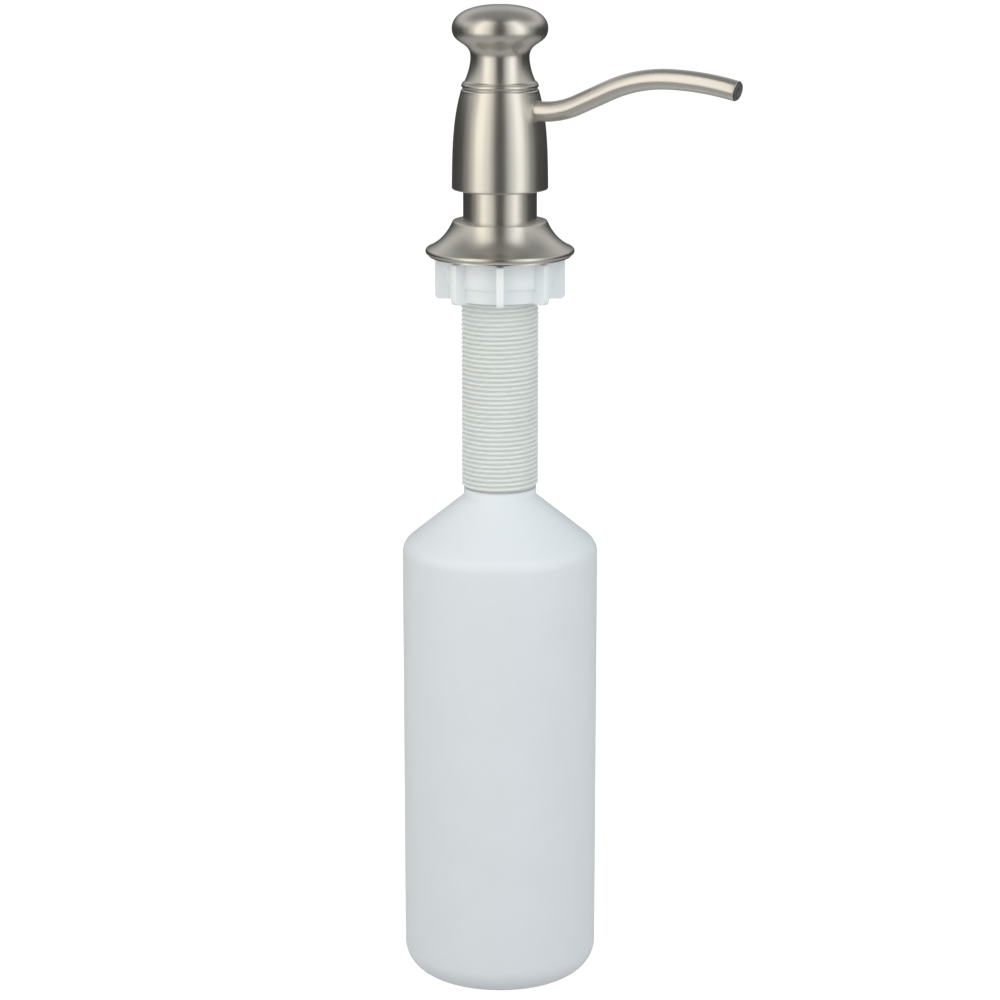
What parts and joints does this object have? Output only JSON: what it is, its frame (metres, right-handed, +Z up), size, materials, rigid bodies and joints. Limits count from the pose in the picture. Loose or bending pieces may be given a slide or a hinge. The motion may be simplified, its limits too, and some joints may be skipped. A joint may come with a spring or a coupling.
{
  "type": "soap pump dispenser",
  "caption": "Counter-mounted soap dispenser with a knobbed press-down pump head and long spout, escutcheon, threaded shank with winged nut, and a bottle that hangs below.",
  "frame": {"origin": "on the pump's axis, at the underside of the escutcheon, which is the counter's surface", "axes": "+Z up along the pump's axis, +X along the spout, +Y to the spout's left"},
  "size_m": [0.1151, 0.064, 0.3227],
  "materials": {
    "brushed_nickel": "brushed nickel, satin",
    "white_acetal": "moulded, matte",
    "clear_poly": "translucent, satin",
    "black_rubber": "moulded rubber, matte",
    "grey_plastic": "moulded, matte",
    "steel": "polished stainless steel",
    "shank_plastic": "moulded, satin, slightly translucent",
    "nut_plastic": "moulded, satin, slightly translucent",
    "white_foam": "soft sealing ring, matte",
    "bottle_poly": "blow-moulded, translucent, satin"
  },
  "bodies": {
    "deck_unit": {"collar": "brushed_nickel", "escutcheon": "brushed_nickel", "deck_gasket": "black_rubber", "shank": "shank_plastic"},
    "washer": {"clamp_washer": "nut_plastic"},
    "nut": {"mounting_nut": "nut_plastic"},
    "bottle_ring": {"bottle_seal": "white_foam"},
    "bottle": {"bottle": "bottle_poly"},
    "pump": {"pump_cap": "white_acetal", "stem_seal": "black_rubber", "pump_cylinder": "clear_poly", "cylinder_gasket": "black_rubber", "ball_cage": "white_acetal", "inlet_ball": "steel", "return_spring": "steel", "dip_tube": "clear_poly"},
    "plunger": {"pump_stem": "white_acetal", "piston": "white_acetal", "piston_seal": "black_rubber", "outlet_ball": "steel"},
    "head": {"head_shell": "brushed_nickel", "head_core": "white_acetal", "guide_bush": "white_acetal", "spout_tube": "brushed_nickel", "spout_liner": "clear_poly", "spout_seal": "black_rubber", "nozzle_insert": "grey_plastic"}
  },
  "joints": [
    {"name": "pump_liftout", "type": "slide", "parent": "deck_unit", "child": "pump", "axis": [0, 0, 1], "range_m": [0, 0.275]},
    {"name": "pump_stroke", "type": "slide", "parent": "pump", "child": "plunger", "axis": [0, 0, -1], "range_m": [0, 0.0095], "stiffness_N_per_m": 400, "springref_m": -0.02, "deforming": ["return_spring"]},
    {"name": "head_swivel", "type": "hinge", "parent": "plunger", "child": "head", "pos_m": [0, 0, 0.04], "axis": [0, 0, 1], "continuous": true},
    {"name": "nut_travel", "type": "slide", "parent": "deck_unit", "child": "washer", "axis": [0, 0, -1], "range_m": [0, 0.06]},
    {"name": "nut_turn", "type": "hinge", "parent": "washer", "child": "nut", "pos_m": [0, 0, -0.007], "axis": [0, 0, -1], "range_deg": [0, 14400]},
    {"name": "bottle_travel", "type": "slide", "parent": "deck_unit", "child": "bottle_ring", "axis": [0, 0, -1], "range_m": [0, 0.009]},
    {"name": "bottle_turn", "type": "hinge", "parent": "bottle_ring", "child": "bottle", "pos_m": [0, 0, -0.08], "axis": [0, 0, -1], "range_deg": [0, 1080]}
  ],
  "couplings": [
    {"joint": "nut_turn", "follows": "nut_travel", "rad_per_m": 4188.8},
    {"joint": "bottle_turn", "follows": "bottle_travel", "rad_per_m": 2094.4}
  ]
}
